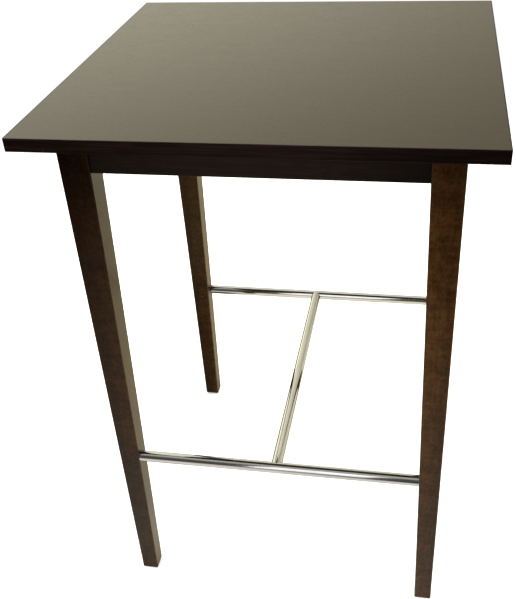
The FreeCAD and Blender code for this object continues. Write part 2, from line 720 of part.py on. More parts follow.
spigot_r = dim("spigot_dia") / 2
foot_plug = turned("foot_plug", [(0.0, -dim("plug_in_tube")), (tube_r - gap - 1.0, -dim("plug_in_tube")),
                                 (tube_r - gap, -dim("plug_in_tube") + 2.0), (tube_r - gap, 0.0),
                                 (spigot_r, 0.0), (spigot_r, dim("spigot_in_leg") - 1.0),
                                 (spigot_r - 1.0, "spigot_in_leg"), (0.0, "spigot_in_leg")])
place(foot_plug, rail_end, "rail_y", "rail_height", FreeCAD.Rotation(V(0, 0, 1), V(1, 0, 0)))
keep(group("foot_plug_set", all_copies(foot_plug, [X_PLANE, Y_PLANE])), "foot_rail_plugs")

cross_spigot = dim("cross_plug_face") - "cross_spigot_tip"
cross_plug = turned("cross_plug", [(0.0, -dim("plug_in_tube")), (tube_r - gap - 1.0, -dim("plug_in_tube")),
                                   (tube_r - gap, -dim("plug_in_tube") + 2.0), (tube_r - gap, 0.0),
                                   (spigot_r, 0.0), (spigot_r, cross_spigot - 0.6),
                                   (spigot_r - 0.6, cross_spigot), (0.0, cross_spigot)])
place(cross_plug, 0.0, dim("rail_y") - "cross_plug_face", "rail_height", TO_BACK)
keep(group("cross_plug_set", all_copies(cross_plug, [Y_PLANE])), "cross_rail_plugs")

# Lock screws: from the face of each leg towards the middle of the table, down to the spigot.
lock_r, lock_head_r, lock_head = dim("lock_dia") / 2, dim("lock_head_dia") / 2, dim("lock_head_high")
lock_seat = lock_face + "lock_bore_deep"
lock_long = dim("rail_y") - spigot_r - gap - lock_seat
lock = turned("lock_screw", [(0.0, -lock_long), (lock_r - 1.0, -lock_long), (lock_r, -lock_long + 1.0),
                             (lock_r, 0.0), (lock_head_r, 0.0), (lock_head_r, lock_head - 0.8),
                             (lock_head_r - 0.8, lock_head), (0.0, lock_head)])
lock_socket = sketch_on(lock, "lock_socket", "XY_Plane", (0.0, 0.0, lock_head))
key_r = dim("lock_key") / math.sqrt(3.0)
polygon(lock_socket, [(key_r * math.cos(math.radians(60 * i)), key_r * math.sin(math.radians(60 * i)))
                      for i in range(6)])
pocket(lock, lock_socket, lock_head * 0.7)
place(lock, "lock_x", lock_seat, "rail_height", TO_FRONT)
keep(group("lock_screw_set", all_copies(lock, [X_PLANE, Y_PLANE])), "rail_lock_screws")

# ----------------------------------------------------------------------------------------
# Glides under the legs
# ----------------------------------------------------------------------------------------
foot_middle = dim("leg_out") - dim("leg_foot") / 2
glide_r, nail_r = dim("glide_dia") / 2, dim("nail_dia") / 2
nail_head_r, nail_head = dim("nail_head_dia") / 2, dim("nail_head_high")
recess_z = nail_head + 0.4
glide = turned("glide", [(nail_head_r + 0.2, 0.0), (glide_r - 1.2, 0.0), (glide_r - 0.35, 0.35), (glide_r, 1.2),
                         (glide_r, "glide_high"), (nail_r + gap, "glide_high"), (nail_r + gap, recess_z),
                         (nail_head_r + 0.2, recess_z)])
place(glide, foot_middle, foot_middle, 0.0)
keep(group("glide_set", all_copies(glide, [X_PLANE, Y_PLANE])), "leg_glides")

nail_top = dim("glide_high") + "nail_long"
nail = turned("nail", [(0.0, 0.4), (nail_head_r - 0.3, 0.4), (nail_head_r, 0.7), (nail_head_r, recess_z),
                       (nail_r, recess_z), (nail_r, nail_top - 2.5), (nail_r * 0.15, nail_top), (0.0, nail_top)])
place(nail, foot_middle, foot_middle, 0.0)
keep(group("nail_set", all_copies(nail, [X_PLANE, Y_PLANE])), "glide_nails")

# ----------------------------------------------------------------------------------------
# Check every object, then write one file per piece
# ----------------------------------------------------------------------------------------
doc.recompute()
bad = [o.Name for o in doc.Objects if "Invalid" in o.State or "Error" in o.State]
if bad:
    raise RuntimeError("failed objects: " + ", ".join(bad))
EXPECTED = {"hanger_bolts": 4, "hanger_bolt_washers": 4, "hanger_bolt_nuts": 4, "bracket_screws": 16,
            "top_angle_brackets": 8, "top_bracket_screws": 16, "foot_rail_plugs": 4, "cross_rail_plugs": 2,
            "rail_lock_screws": 4, "leg_glides": 4, "glide_nails": 4}
for item in pieces:
    shape = item.Shape
    if shape.isNull() or not shape.isValid():
        raise RuntimeError("bad shape: " + item.Label)
    if len(shape.Solids) != EXPECTED.get(item.Label, 1):
        raise RuntimeError("%s has %d solids" % (item.Label, len(shape.Solids)))

os.makedirs("parts", exist_ok=True)
for item in pieces:
    solids = item.Shape.Solids
    shape = solids[0] if len(solids) == 1 else Part.makeCompound(solids)
    shape.exportStep(os.path.join("parts", item.Label + ".step"))
    b = shape.BoundBox
    print("%-28s %2d solid(s) %10.1f mm3  x %.1f..%.1f  y %.1f..%.1f  z %.1f..%.1f"
          % (item.Label, len(solids), shape.Volume, b.XMin, b.XMax, b.YMin, b.YMax, b.ZMin, b.ZMax))
print(len(pieces), "pieces")
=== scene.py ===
import math

import bmesh
import bpy
from mathutils import Matrix, Vector

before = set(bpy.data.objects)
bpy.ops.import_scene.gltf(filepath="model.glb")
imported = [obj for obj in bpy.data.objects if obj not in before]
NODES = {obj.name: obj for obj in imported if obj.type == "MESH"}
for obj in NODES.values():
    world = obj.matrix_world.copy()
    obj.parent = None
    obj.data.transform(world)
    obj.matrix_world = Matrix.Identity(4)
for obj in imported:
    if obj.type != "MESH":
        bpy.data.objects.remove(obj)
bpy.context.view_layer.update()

SCENE = bpy.context.scene


# ---------------------------------------------------------------- node helpers
class Tree:
    """A small builder for shader node trees: sockets go in, sockets come out."""

    def __init__(self, tree):
        self.tree = tree
        self.tree.nodes.clear()

    def node(self, kind, **props):
        n = self.tree.nodes.new(kind)
        for k, v in props.items():
            setattr(n, k, v)
        return n

    def put(self, socket, value):
        if isinstance(value, bpy.types.NodeSocket):
            self.tree.links.new(value, socket)
        else:
            socket.default_value = value

    def math(self, op, a, b=0.0, c=0.0, clamp=False):
        n = self.node("ShaderNodeMath", operation=op, use_clamp=clamp)
        self.put(n.inputs[0], a)
        self.put(n.inputs[1], b)
        self.put(n.inputs[2], c)
        return n.outputs[0]

    def vec(self, op, a, b=(0.0, 0.0, 0.0)):
        n = self.node("ShaderNodeVectorMath", operation=op)
        self.put(n.inputs[0], a)
        self.put(n.inputs[1], b)
        return n.outputs["Value"] if op in ("DOT_PRODUCT", "LENGTH", "DISTANCE") else n.outputs[0]

    def remap(self, v, a, b, c=0.0, d=1.0, kind="LINEAR"):
        n = self.node("ShaderNodeMapRange", interpolation_type=kind, clamp=True)
        for i, x in enumerate((v, a, b, c, d)):
            self.put(n.inputs[i], x)
        return n.outputs[0]

    def mix(self, f, a, b, kind="MIX"):
        n = self.node("ShaderNodeMix", data_type="RGBA", blend_type=kind, clamp_factor=True)
        self.put(n.inputs[0], f)
        self.put(n.inputs[6], a)
        self.put(n.inputs[7], b)
        return n.outputs[2]

    def ramp(self, f, stops, a=0.0, b=1.0):
        n = self.node("ShaderNodeValToRGB")
        self.put(n.inputs[0], f)
        e = n.color_ramp.elements
        while len(e) < len(stops):
            e.new(0.5)
        for k, (at, c) in enumerate(stops):
            e[k].position = (at - a) / (b - a)
            e[k].color = rgba(c)
        return n.outputs[0]

    def noise(self, v, detail=3.0, rough=0.55, distort=0.0):
        n = self.node("ShaderNodeTexNoise", noise_dimensions="3D")
        self.put(n.inputs["Vector"], v)
        n.inputs["Scale"].default_value = 1.0
        n.inputs["Detail"].default_value = detail
        n.inputs["Roughness"].default_value = rough
        n.inputs["Distortion"].default_value = distort
        return n.outputs["Fac"]

    def cells(self, v, feature="F1", out="Distance"):
        n = self.node("ShaderNodeTexVoronoi", feature=feature)
        self.put(n.inputs["Vector"], v)
        n.inputs["Scale"].default_value = 1.0
        return n.outputs[out]

    def scaled(self, v, scale, offset=(0.0, 0.0, 0.0)):
        n = self.node("ShaderNodeMapping", vector_type="POINT")
        self.put(n.inputs["Vector"], v)
        n.inputs["Scale"].default_value = scale
        n.inputs["Location"].default_value = offset
        return n.outputs[0]

    def bump(self, height, strength, distance, normal=None):
        n = self.node("ShaderNodeBump")
        n.inputs["Strength"].default_value = strength
        n.inputs["Distance"].default_value = distance
        self.put(n.inputs["Height"], height)
        if normal is not None:
            self.put(n.inputs["Normal"], normal)
        return n.outputs[0]


def rgba(c):
    return (c[0], c[1], c[2], 1.0)


def start(name):
    m = bpy.data.materials.new(name)
    m.use_nodes = True
    t = Tree(m.node_tree)
    out = t.node("ShaderNodeOutputMaterial")
    shader = t.node("ShaderNodeBsdfPrincipled")
    t.tree.links.new(shader.outputs[0], out.inputs["Surface"])
    return m, t, shader


def along(t, axis):
    """Place on the piece in metres, turned so that the first coordinate runs along the grain."""
    p = t.node("ShaderNodeTexCoord").outputs["Object"]
    s = t.node("ShaderNodeSeparateXYZ")
    t.put(s.inputs[0], p)
    order = {"X": (0, 1, 2), "Y": (1, 0, 2), "Z": (2, 0, 1)}[axis]
    c = t.node("ShaderNodeCombineXYZ")
    for i, k in enumerate(order):
        t.put(c.inputs[i], s.outputs[k])
    return c.outputs[0]


def place(t):
    """X, Y and Z on the piece in metres."""
    s = t.node("ShaderNodeSeparateXYZ")
    t.put(s.inputs[0], t.node("ShaderNodeTexCoord").outputs["Object"])
    return s.outputs[0], s.outputs[1], s.outputs[2]


def edges(t, low=0.012, high=0.16):
    """1 on rounded edges and corners, 0 on the flats: flats face along an axis of the frame, roundings don't."""
    s = t.node("ShaderNodeSeparateXYZ")
    t.put(s.inputs[0], t.vec("ABSOLUTE", t.node("ShaderNodeNewGeometry").outputs["Normal"]))
    m = t.math("MAXIMUM", t.math("MAXIMUM", s.outputs[0], s.outputs[1]), s.outputs[2])
    return t.remap(t.math("SUBTRACT", 1.0, m), low, high)


# ---------------------------------------------------------------- finishes
def wood(name, axis, offset, dark, mid, light, worn_edge_and_highlight, roughness=0.3, level=0.5, hair=0.85, streak=1.1,
         mottle=1.0, figure=1.0, drift=0.5, wear_and_edge_highlight=0.35, grain_bump=1.0, peel=1.0, fleck=0.0, hues=(26.0, 38.0, 38.0),
         inner=None, bore=None, ends=None, height=None, tint=None):
    """Stained wood under satin lacquer: streaks along the grain, soft blotches where the stain took unevenly,
    a faint figure across the grain, small flecks, open pores, and thin stain on the rounded edges, which also paints a
    highlight along them. On a leg, inner is how much lighter the wood is towards the inner edges and how much darker
    towards the outer ones, height is painted light and shade that changes from the foot up, and bore is the axis and
    radius of the seat drilled for the lock screw, which shows bare wood. On a rail of the top, ends is where along X a
    painted shade makes the board darker. tint is the warmth of the lacquer."""
    m, t, s = start(name)
    v = along(t, axis)
    fine = t.noise(t.scaled(v, (11.0, 520.0, 520.0), offset), 4.0, 0.6)
    band = t.noise(t.scaled(v, (2.6, 95.0, 95.0), offset), 3.0, 0.55, 0.35)
    blot = t.noise(t.scaled(v, (34.0, 48.0, 48.0), offset), 4.0, 0.62, 0.5)
    cross = t.noise(t.scaled(v, (85.0, 16.0, 16.0), offset), 2.0, 0.5, 0.6)
    pore = t.remap(t.noise(t.scaled(v, (170.0, 1900.0, 1900.0), offset), 1.0, 0.4), 0.66, 0.76)
    # one grey value for all the figure, around 0.5
    g = t.math("MULTIPLY_ADD", t.math("SUBTRACT", fine, 0.5), hair, 0.5)
    g = t.math("MULTIPLY_ADD", t.math("SUBTRACT", band, 0.5), streak, g)
    g = t.math("MULTIPLY_ADD", t.math("SUBTRACT", blot, 0.5), 1.20 * mottle, g)
    g = t.math("MULTIPLY_ADD", t.math("SUBTRACT", cross, 0.5), 0.75 * figure, g)
    if fleck:
        spots = t.noise(t.scaled(v, (130.0, 190.0, 190.0), offset), 2.0, 0.6, 0.4)
        g = t.math("MULTIPLY_ADD", t.math("SUBTRACT", spots, 0.5), fleck, g)
    lo = t.mix(t.remap(g, 0.12, 0.52), rgba(dark), rgba(mid))
    col = t.mix(t.remap(g, 0.48, 0.95), lo, rgba(light))
    hue = t.remap(t.noise(t.scaled(v, hues, [3.1 + o for o in offset]), 3.0, 0.6, 0.4), 0.34, 0.66, 0.5 - 0.5 * drift, 0.5 + 0.5 * drift)
    col = t.mix(1.0, col, t.mix(hue, rgba((1.22, 0.90, 0.82)), rgba((0.80, 1.06, 1.08))), "MULTIPLY")
    col = t.mix(t.math("MULTIPLY", pore, 0.55), col, rgba([c * 0.35 for c in dark]))
    # lighter towards the inner edges of the leg and darker towards the outer ones
    if inner is not None:
        x, y, z = [t.math("ABSOLUTE", o) for o in place(t)]
        n = t.node("ShaderNodeSeparateXYZ")
        t.put(n.inputs[0], t.node("ShaderNodeNewGeometry").outputs["Normal"])
        turn = t.remap(t.math("ABSOLUTE", n.outputs[0]), 0.65, 0.76)
        side = t.math("MULTIPLY_ADD", turn, t.math("SUBTRACT", y, x), x)
        col = t.mix(1.0, col, t.remap(side, 0.266, 0.310, *inner), "MULTIPLY")
    # painted light and shade that changes from the foot of the leg up to under the top
    if height is not None:
        up = t.ramp(t.remap(place(t)[2], 0.0, 1.1), [(at, k if isinstance(k, tuple) else (k, k, k)) for at, k in height], 0.0, 1.1)
        col = t.mix(1.0, col, up, "MULTIPLY")
    # painted shade: the board darker towards its right end
    if ends is not None:
        col = t.mix(1.0, col, t.remap(place(t)[0], ends[0], ends[1], 1.0, ends[2], "SMOOTHSTEP"), "MULTIPLY")
    # stain rubbed thin on the edges, unevenly, together with a painted highlight along the rounded edges
    e = t.math("MULTIPLY", edges(t), t.remap(t.noise(t.scaled(v, (60.0, 160.0, 160.0), offset), 3.0, 0.6), 0.3, 0.75))
    col = t.mix(t.math("MULTIPLY", e, wear_and_edge_highlight), col, rgba(worn_edge_and_highlight))
    if bore is not None:
        x, y, z = place(t)
        dx = t.math("SUBTRACT", t.math("ABSOLUTE", x), bore[0])
        dz = t.math("SUBTRACT", z, bore[1])
        far = t.math("SQRT", t.math("MULTIPLY_ADD", dx, dx, t.math("MULTIPLY", dz, dz)))
        within = t.math("MULTIPLY", t.remap(far, bore[2], bore[2] + 0.00025, 1.0, 0.0),
                        t.math("LESS_THAN", t.math("ABSOLUTE", y), 0.298))
        bare = t.mix(fine, rgba((0.14, 0.085, 0.045)), rgba((0.28, 0.175, 0.095)))
        col = t.mix(within, col, bare)
    t.put(s.inputs["Base Color"], col)
    # satin lacquer: a little duller in the pores and blotches
    r = t.math("MULTIPLY_ADD", t.math("SUBTRACT", blot, 0.5), 0.10, roughness)
    r = t.math("MULTIPLY_ADD", t.math("SUBTRACT", fine, 0.5), 0.05, r)
    r = t.math("MULTIPLY_ADD", pore, 0.10, r)
    r = t.math("MULTIPLY_ADD", e, 0.06, r)
    t.put(s.inputs["Roughness"], r)
    s.inputs["IOR"].default_value = 1.5
    s.inputs["Specular IOR Level"].default_value = level
    if tint is not None:
        s.inputs["Specular Tint"].default_value = rgba(tint)
    # pores sink a little under the lacquer, which itself has a slight orange peel
    relief = t.math("MULTIPLY_ADD", pore, -0.8, t.math("MULTIPLY", fine, 0.5))
    n1 = t.bump(relief, 0.16 * grain_bump, 0.00025)
    skin = t.noise(t.scaled(v, (210.0, 260.0, 260.0), offset), 2.0, 0.5)
    n2 = t.bump(skin, 0.05 * peel, 0.0006, n1)
    t.put(s.inputs["Normal"], n2)
    return m


def chrome(name, axis, offset, tint=(1.0, 1.0, 1.0), rim=(0.62, 0.61, 0.58)):
    """Polished chrome plate on tube: nearly a mirror, with faint polishing lines and a slight haze in places."""
    m, t, s = start(name)
    v = along(t, axis)
    haze = t.noise(t.scaled(v, (14.0, 60.0, 60.0), offset), 3.0, 0.6)
    lines = t.noise(t.scaled(v, (25.0, 2600.0, 2600.0), offset), 2.0, 0.5)
    speck = t.remap(t.noise(t.scaled(v, (420.0, 420.0, 420.0), offset), 2.0, 0.6), 0.70, 0.78)
    col = t.mix(t.remap(haze, 0.3, 0.75), rgba([a * b for a, b in zip((0.65, 0.65, 0.64), tint)]),
                rgba([a * b for a, b in zip((0.74, 0.74, 0.73), tint)]))
    col = t.mix(t.math("MULTIPLY", speck, 0.25), col, rgba((0.42, 0.41, 0.39)))
    t.put(s.inputs["Base Color"], col)
    s.inputs["Metallic"].default_value = 1.0
    s.inputs["Specular Tint"].default_value = rgba(rim)
    r = t.remap(haze, 0.3, 0.8, 0.045, 0.085)
    r = t.math("MULTIPLY_ADD", t.math("SUBTRACT", lines, 0.5), 0.03, r)
    r = t.math("MULTIPLY_ADD", speck, 0.12, r)
    t.put(s.inputs["Roughness"], r)
    wave = t.noise(t.scaled(v, (5.0, 22.0, 22.0), offset), 1.0, 0.5)
    n1 = t.bump(lines, 0.03, 0.00004)
    t.put(s.inputs["Normal"], t.bump(wave, 0.04, 0.0006, n1))
    return m


def plated(name, axis, offset, pale, dull, stain, roughness=0.34):
    """Zinc plate on pressed or turned steel: fine rolling lines, cloudy patches, darker specks and brighter rubbed edges."""
    m, t, s = start(name)
    v = along(t, axis)
    cloud = t.noise(t.scaled(v, (70.0, 70.0, 70.0), offset), 4.0, 0.6, 0.3)
    lines = t.noise(t.scaled(v, (40.0, 1500.0, 1500.0), offset), 2.0, 0.5)
    speck = t.remap(t.noise(t.scaled(v, (600.0, 600.0, 600.0), offset), 2.0, 0.6), 0.66, 0.76)
    col = t.mix(t.remap(cloud, 0.3, 0.7), rgba(dull), rgba(pale))
    col = t.mix(t.math("MULTIPLY", speck, 0.5), col, rgba(stain))
    col = t.mix(t.math("MULTIPLY", edges(t), 0.35), col, rgba([min(1.0, c * 1.18) for c in pale]))
    t.put(s.inputs["Base Color"], col)
    s.inputs["Metallic"].default_value = 1.0
    r = t.math("MULTIPLY_ADD", t.math("SUBTRACT", cloud, 0.5), 0.22, roughness)
    r = t.math("MULTIPLY_ADD", t.math("SUBTRACT", lines, 0.5), 0.12, r)
    r = t.math("MULTIPLY_ADD", speck, 0.15, r)
    t.put(s.inputs["Roughness"], r)
    t.put(s.inputs["Normal"], t.bump(t.math("ADD", lines, t.math("MULTIPLY", cloud, 0.6)), 0.12, 0.00012))
    return m


def oxide(name, offset):
    """Black oxide screws: dark and oily, rubbed brighter on the edges of the drive."""
    m, t, s = start(name)
    v = along(t, "Z")
    cloud = t.noise(t.scaled(v, (260.0, 260.0, 260.0), offset), 3.0, 0.6)
    e = t.math("MULTIPLY", edges(t), t.remap(cloud, 0.35, 0.65))
    col = t.mix(t.remap(cloud, 0.3, 0.7), rgba((0.020, 0.015, 0.012)), rgba((0.050, 0.038, 0.030)))
    col = t.mix(t.math("MULTIPLY", e, 0.6), col, rgba((0.20, 0.16, 0.12)))
    t.put(s.inputs["Base Color"], col)
    s.inputs["Metallic"].default_value = 0.9
    t.put(s.inputs["Roughness"], t.remap(cloud, 0.25, 0.75, 0.28, 0.46))
    t.put(s.inputs["Normal"], t.bump(cloud, 0.12, 0.0001))
    return m


def moulded(name, offset, a, b, roughness=0.5):
    """Moulded nylon: a fine spark-eroded grain, slight flow clouds, and a paler rub on the edges."""
    m, t, s = start(name)
    v = along(t, "X")
    flow = t.noise(t.scaled(v, (90.0, 140.0, 90.0), offset), 3.0, 0.55, 0.5)
    grit = t.noise(t.scaled(v, (2600.0, 2600.0, 2600.0), offset), 2.0, 0.6)
    col = t.mix(t.remap(flow, 0.3, 0.7), rgba(a), rgba(b))
    col = t.mix(t.math("MULTIPLY", edges(t), 0.3), col, rgba([c * 2.2 for c in b]))
    t.put(s.inputs["Base Color"], col)
    r = t.math("MULTIPLY_ADD", t.math("SUBTRACT", grit, 0.5), 0.2, roughness)
    t.put(s.inputs["Roughness"], t.math("MULTIPLY_ADD", t.math("SUBTRACT", flow, 0.5), 0.1, r))
    t.put(s.inputs["Normal"], t.bump(grit, 0.25, 0.00008))
    return m


def fibreboard(name, offset):
    """Raw board: short fibres of mixed browns, matt."""
    m, t, s = start(name)
    v = along(t, "X")
    a = t.noise(t.scaled(v, (240.0, 900.0, 900.0), offset), 3.0, 0.65)
    b = t.noise(t.scaled(v, (900.0, 240.0, 900.0), offset), 3.0, 0.65)
    g = t.math("MAXIMUM", a, b)
    col = t.mix(t.remap(g, 0.45, 0.75), rgba((0.26, 0.165, 0.085)), rgba((0.42, 0.29, 0.16)))
    t.put(s.inputs["Base Color"], col)
    t.put(s.inputs["Roughness"], t.remap(g, 0.4, 0.8, 0.75, 0.92))
    t.put(s.inputs["Normal"], t.bump(g, 0.3, 0.0002))
    return m


def give(node, material):
    o = NODES[node]
    for slot in o.material_slots:
        slot.material = material


def spread(i):
    """A different stretch of grain for each board."""
    return (3.7 * i + 1.3, 11.9 * i + 0.7, 7.3 * i + 2.1)


# the top: very even, dark satin face; the grain only shows close up
give("tabletop_veneer", wood("espresso_top", "X", spread(1), (0.0072, 0.0042, 0.0021), (0.0110, 0.0065, 0.0031),
                             (0.0165, 0.0100, 0.0049), (0.034, 0.021, 0.011), roughness=0.27, level=0.5, hair=0.36, streak=0.42,
                             mottle=0.2, figure=0.1, drift=0.25, grain_bump=0.2, peel=0.5))
# the front edge band and the front apron get a painted shade towards their right ends
for i, (n, axis) in enumerate([("front", "X"), ("back", "X"), ("left", "Y"), ("right", "Y")]):
    give("edge_band_" + n, wood("espresso_band_" + n, axis, spread(4 + i), (0.0034, 0.0011, 0.0010), (0.0072, 0.0025, 0.0023),
                                (0.020, 0.0080, 0.0075), (0.035, 0.020, 0.016), roughness=0.40, level=0.18, hair=4.6, streak=1.5,
                                mottle=0.4, figure=0.0, drift=0.4, wear_and_edge_highlight=0.30, ends=(0.08, 0.28, 0.50) if n == "front" else None))
    give("apron_" + n, wood("espresso_apron_" + n, axis, spread(9 + i), (0.0080, 0.0040, 0.0025), (0.0146, 0.0074, 0.0046),
                            (0.026, 0.0138, 0.0086), (0.055, 0.032, 0.019), roughness=0.36, level=0.25, hair=2.8, streak=1.8,
                            mottle=1.2, figure=0.4, drift=0.6, wear_and_edge_highlight=0.4, ends=(0.10, 0.25, 0.28) if n == "front" else None))
# painted light and shade up three of the legs, from the foot to under the top
PAINTED_LIGHT_BY_HEIGHT = {"front_left": ((0.0, 0.92), (0.25, 1.05), (0.45, 1.40), (0.65, 1.04), (0.80, 0.87), (0.96, (0.72, 0.58, 0.50))),
        "front_right": ((0.10, 0.96), (0.30, 1.05), (0.72, 1.10), (0.86, 1.00), (0.98, 1.25)),
        "back_left": ((0.0, 0.80), (0.20, 0.97), (0.45, 1.12), (0.70, 0.94), (0.95, (0.80, 0.76, 0.70)))}
# each leg's stain is scaled by painted light: lighter or darker by how much light falls on that leg
for i, (n, painted_light_tone) in enumerate([("front_left", 0.90), ("front_right", 1.27), ("back_left", 0.97), ("back_right", 1.0)]):
    give("leg_" + n, wood("espresso_leg_" + n, "Z", spread(15 + 2 * i), [c * painted_light_tone for c in (0.0150, 0.0058, 0.0016)],
                          [c * painted_light_tone for c in (0.0330, 0.0148, 0.0042)], [c * painted_light_tone for c in (0.059, 0.0286, 0.0088)],
                          (0.13, 0.060, 0.022), roughness=0.25, level=0.185, hair=0.45, streak=0.3, mottle=0.6, figure=0.75,
                          drift=0.5, wear_and_edge_highlight=0.5, fleck=0.8, hues=(60.0, 90.0, 90.0), inner=(1.35, 0.76), bore=(0.2965, 0.3435, 0.00522),
                          height=PAINTED_LIGHT_BY_HEIGHT.get(n), tint=(1.0, 0.90, 0.60) if n == "back_left" else None))
give("tabletop_backing", wood("espresso_backing", "X", spread(30), (0.012, 0.0070, 0.0045), (0.020, 0.012, 0.0078),
                              (0.030, 0.019, 0.0125), (0.05, 0.03, 0.02), roughness=0.52, level=0.35, hair=0.7, streak=0.9,
                              mottle=0.5, figure=0.2, grain_bump=1.4))
give("tabletop_core", fibreboard("board_core", spread(31)))
for i, n in enumerate(["foot_rail_front", "foot_rail_back"]):
    give(n, chrome("chrome_" + n, "X", spread(33 + i), (0.96, 0.985, 1.06), (0.42, 0.425, 0.44)))
give("cross_rail", chrome("chrome_cross_rail", "Y", spread(35)))
zinc = plated("zinc_steel", "X", spread(37), (0.60, 0.60, 0.585), (0.46, 0.46, 0.455), (0.30, 0.29, 0.27))
for n in ("corner_bracket_front_left", "corner_bracket_front_right", "corner_bracket_back_left",
          "corner_bracket_back_right", "top_angle_brackets"):
    give(n, zinc)
bolt = plated("zinc_bolt", "Z", spread(38), (0.62, 0.61, 0.58), (0.50, 0.49, 0.46), (0.32, 0.30, 0.27), roughness=0.30)
for n in ("hanger_bolts", "hanger_bolt_washers", "hanger_bolt_nuts"):
    give(n, bolt)
screw = plated("zinc_screw", "Z", spread(39), (0.62, 0.53, 0.33), (0.52, 0.43, 0.27), (0.34, 0.27, 0.16), roughness=0.32)
for n in ("bracket_screws", "top_bracket_screws", "glide_nails"):
    give(n, screw)
give("rail_lock_screws", oxide("dark_screw", spread(40)))
plug = moulded("nylon_plug", spread(41), (0.012, 0.012, 0.013), (0.020, 0.020, 0.021), 0.42)
for n in ("foot_rail_plugs", "cross_rail_plugs"):
    give(n, plug)
give("leg_glides", moulded("nylon_glide", spread(42), (0.030, 0.020, 0.014), (0.048, 0.033, 0.024), 0.5))


# ---------------------------------------------------------------- stage: floor, flags, lights
def plane(name, x0, x1, y0, y1, z, material):
    me = bpy.data.meshes.new(name)
    me.from_pydata([(x0, y0, z), (x1, y0, z), (x1, y1, z), (x0, y1, z)], [], [(0, 1, 2, 3)])
    me.materials.append(material)
    o = bpy.data.objects.new(name, me)
    SCENE.collection.objects.link(o)
    return o


def only(o, **kinds):
    """Which kinds of light path meet a studio card."""
    for k in ("camera", "diffuse", "glossy", "transmission", "volume_scatter", "shadow"):
        setattr(o, "visible_" + k, kinds.get(k, False))


def place_xyz(t):
    s = t.node("ShaderNodeSeparateXYZ")
    t.put(s.inputs[0], t.node("ShaderNodeTexCoord").outputs["Object"])
    return s.outputs


def pale(name):
    """Pale studio paper, slightly uneven, with a little light of its own."""
    m, t, s = start(name)
    f = t.noise(t.scaled(t.node("ShaderNodeTexCoord").outputs["Object"], (0.8, 0.8, 0.8)), 3.0, 0.5)
    t.put(s.inputs["Base Color"], t.mix(f, rgba((0.80, 0.80, 0.80)), rgba((0.84, 0.84, 0.84))))
    s.inputs["Roughness"].default_value = 0.9
    s.inputs["Specular IOR Level"].default_value = 0.0
    s.inputs["Emission Color"].default_value = (1.0, 1.0, 1.0, 1.0)
    s.inputs["Emission Strength"].default_value = 0.35
    m.cycles.emission_sampling = "NONE"
    out = [n for n in t.tree.nodes if n.type == "OUTPUT_MATERIAL"][0]
    return m, t, s, out


def blend(t, k, a, b):
    n = t.node("ShaderNodeMixShader")
    t.put(n.inputs[0], k)
    t.put(n.inputs[1], a)
    t.put(n.inputs[2], b)
    return n.outputs[0]


BACKDROP = (0.84, 0.84, 0.83)


def floor_material():
    """The floor in the picture: pale all round, running into the backdrop without an edge. From below it is clear, so
    that the underside can be looked at."""
    m, t, s, out = pale("pale_floor")
    x, y, _ = place_xyz(t)
    r = t.math("SQRT", t.math("ADD", t.math("MULTIPLY", x, x), t.math("MULTIPLY", y, y)))
    far = t.node("ShaderNodeEmission")
    t.put(far.inputs["Color"], t.mix(t.remap(r, 5.0, 11.0, 0.0, 1.0, "SMOOTHSTEP"), rgba((1.02, 1.02, 1.02)), rgba(BACKDROP)))
    seen = blend(t, t.remap(r, 1.4, 3.2, 0.0, 1.0, "SMOOTHSTEP"), s.outputs[0], far.outputs[0])
    clear = t.node("ShaderNodeBsdfTransparent").outputs[0]
    t.put(out.inputs["Surface"], blend(t, t.node("ShaderNodeNewGeometry").outputs["Backfacing"], seen, clear))
    return m


def bounce_material():
    """The floor as the object's matt light sees it: pale, with black cloth laid in front of the table."""
    m, t, s, out = pale("bounce_floor")
    black = t.node("ShaderNodeBsdfDiffuse")
    black.inputs["Color"].default_value = (0.02, 0.018, 0.015, 1.0)
    k = t.remap(place_xyz(t)[1], -0.38, -0.95, 0.0, 1.0, "SMOOTHSTEP")
    t.put(out.inputs["Surface"], blend(t, k, s.outputs[0], black.outputs[0]))
    return m


def backdrop_material():
    m = bpy.data.materials.new("pale_backdrop")
    m.use_nodes = True
    t = Tree(m.node_tree)
    out = t.node("ShaderNodeOutputMaterial")
    glow = t.node("ShaderNodeEmission")
    glow.inputs["Color"].default_value = rgba(BACKDROP)
    t.put(out.inputs["Surface"], glow.outputs[0])
    m.cycles.emission_sampling = "NONE"
    return m


def dome(name, radius, material):
    bm = bmesh.new()
    bmesh.ops.create_uvsphere(bm, u_segments=64, v_segments=32, radius=radius)
    bmesh.ops.reverse_faces(bm, faces=bm.faces[:])
    me = bpy.data.meshes.new(name)
    bm.to_mesh(me)
    bm.free()
    me.materials.append(material)
    o = bpy.data.objects.new(name, me)
    SCENE.collection.objects.link(o)
    return o


